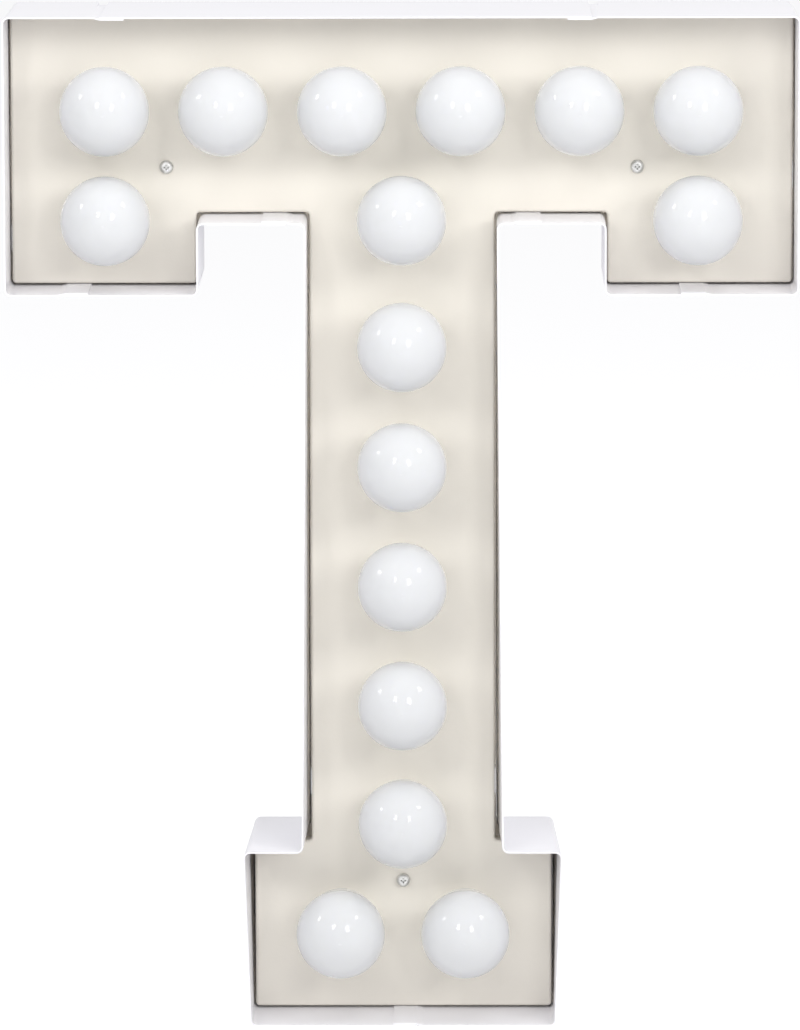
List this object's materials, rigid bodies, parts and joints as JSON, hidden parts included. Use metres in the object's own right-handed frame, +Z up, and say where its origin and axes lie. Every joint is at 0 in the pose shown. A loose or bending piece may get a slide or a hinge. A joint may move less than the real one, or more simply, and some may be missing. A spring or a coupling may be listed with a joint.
{
  "type": "light-up letter",
  "caption": "Slab-serif letter T of white sheet metal with a recessed cream face and screw-in opal globe bulbs, free-standing or wall-hung.",
  "frame": {"origin": "middle of the flat face that the foot stands on", "axes": "+Z up the stem, +X to the viewer's right, and the bulbs face -Y"},
  "size_m": [0.3976, 0.106, 0.514],
  "materials": {
    "wall_paint": "satin white powder coat",
    "panel_paint": "satin cream powder coat",
    "opal_glass": "glossy opal white",
    "cap_metal": "nickel plated",
    "holder_plastic": "moulded, half gloss",
    "brass": "pressed",
    "zinc_steel": "bright zinc plate",
    "spring_steel": "bright strip",
    "live_insulation": "extruded",
    "neutral_insulation": "extruded",
    "earth_insulation": "extruded",
    "grommet_rubber": "moulded, matt",
    "block_plastic": "moulded"
  },
  "bodies": {
    "letter": {"back_pan": "wall_paint", "back_screws": "zinc_steel", "cable_grommet": "grommet_rubber", "centre_contacts": "brass", "earth_lug": "zinc_steel", "earth_nut": "brass", "earth_stud": "zinc_steel", "earth_wire": "earth_insulation", "edge_clips": "spring_steel", "face_panel": "panel_paint", "face_screws": "zinc_steel", "lampholder_bodies": "holder_plastic", "live_wires": "live_insulation", "neutral_wires": "neutral_insulation", "panel_pillars": "zinc_steel", "return_left_arm": "wall_paint", "return_left_crown": "wall_paint", "return_left_stem": "wall_paint", "return_right_arm": "wall_paint", "return_right_crown": "wall_paint", "return_right_stem": "wall_paint", "return_top": "wall_paint", "screw_shells": "brass", "shade_rings": "holder_plastic", "terminal_block": "block_plastic", "terminal_screws": "brass"},
    "bulb_01": {"globe_01": "opal_glass", "cap_01": "cap_metal"},
    "bulb_02": {"globe_02": "opal_glass", "cap_02": "cap_metal"},
    "bulb_03": {"globe_03": "opal_glass", "cap_03": "cap_metal"},
    "bulb_04": {"globe_04": "opal_glass", "cap_04": "cap_metal"},
    "bulb_05": {"globe_05": "opal_glass", "cap_05": "cap_metal"},
    "bulb_06": {"globe_06": "opal_glass", "cap_06": "cap_metal"},
    "bulb_07": {"globe_07": "opal_glass", "cap_07": "cap_metal"},
    "bulb_08": {"globe_08": "opal_glass", "cap_08": "cap_metal"},
    "bulb_09": {"globe_09": "opal_glass", "cap_09": "cap_metal"},
    "bulb_10": {"globe_10": "opal_glass", "cap_10": "cap_metal"},
    "bulb_11": {"globe_11": "opal_glass", "cap_11": "cap_metal"},
    "bulb_12": {"globe_12": "opal_glass", "cap_12": "cap_metal"},
    "bulb_13": {"globe_13": "opal_glass", "cap_13": "cap_metal"},
    "bulb_14": {"globe_14": "opal_glass", "cap_14": "cap_metal"},
    "bulb_15": {"globe_15": "opal_glass", "cap_15": "cap_metal"},
    "bulb_16": {"globe_16": "opal_glass", "cap_16": "cap_metal"}
  },
  "joints": [
    {"name": "bulb_01_pull", "type": "slide", "parent": "letter", "child": "bulb_01", "axis": [0, -1, 0], "range_m": [0, 0.035]},
    {"name": "bulb_02_pull", "type": "slide", "parent": "letter", "child": "bulb_02", "axis": [0, -1, 0], "range_m": [0, 0.035]},
    {"name": "bulb_03_pull", "type": "slide", "parent": "letter", "child": "bulb_03", "axis": [0, -1, 0], "range_m": [0, 0.035]},
    {"name": "bulb_04_pull", "type": "slide", "parent": "letter", "child": "bulb_04", "axis": [0, -1, 0], "range_m": [0, 0.035]},
    {"name": "bulb_05_pull", "type": "slide", "parent": "letter", "child": "bulb_05", "axis": [0, -1, 0], "range_m": [0, 0.035]},
    {"name": "bulb_06_pull", "type": "slide", "parent": "letter", "child": "bulb_06", "axis": [0, -1, 0], "range_m": [0, 0.035]},
    {"name": "bulb_07_pull", "type": "slide", "parent": "letter", "child": "bulb_07", "axis": [0, -1, 0], "range_m": [0, 0.035]},
    {"name": "bulb_08_pull", "type": "slide", "parent": "letter", "child": "bulb_08", "axis": [0, -1, 0], "range_m": [0, 0.035]},
    {"name": "bulb_09_pull", "type": "slide", "parent": "letter", "child": "bulb_09", "axis": [0, -1, 0], "range_m": [0, 0.035]},
    {"name": "bulb_10_pull", "type": "slide", "parent": "letter", "child": "bulb_10", "axis": [0, -1, 0], "range_m": [0, 0.035]},
    {"name": "bulb_11_pull", "type": "slide", "parent": "letter", "child": "bulb_11", "axis": [0, -1, 0], "range_m": [0, 0.035]},
    {"name": "bulb_12_pull", "type": "slide", "parent": "letter", "child": "bulb_12", "axis": [0, -1, 0], "range_m": [0, 0.035]},
    {"name": "bulb_13_pull", "type": "slide", "parent": "letter", "child": "bulb_13", "axis": [0, -1, 0], "range_m": [0, 0.035]},
    {"name": "bulb_14_pull", "type": "slide", "parent": "letter", "child": "bulb_14", "axis": [0, -1, 0], "range_m": [0, 0.035]},
    {"name": "bulb_15_pull", "type": "slide", "parent": "letter", "child": "bulb_15", "axis": [0, -1, 0], "range_m": [0, 0.035]},
    {"name": "bulb_16_pull", "type": "slide", "parent": "letter", "child": "bulb_16", "axis": [0, -1, 0], "range_m": [0, 0.035]}
  ]
}
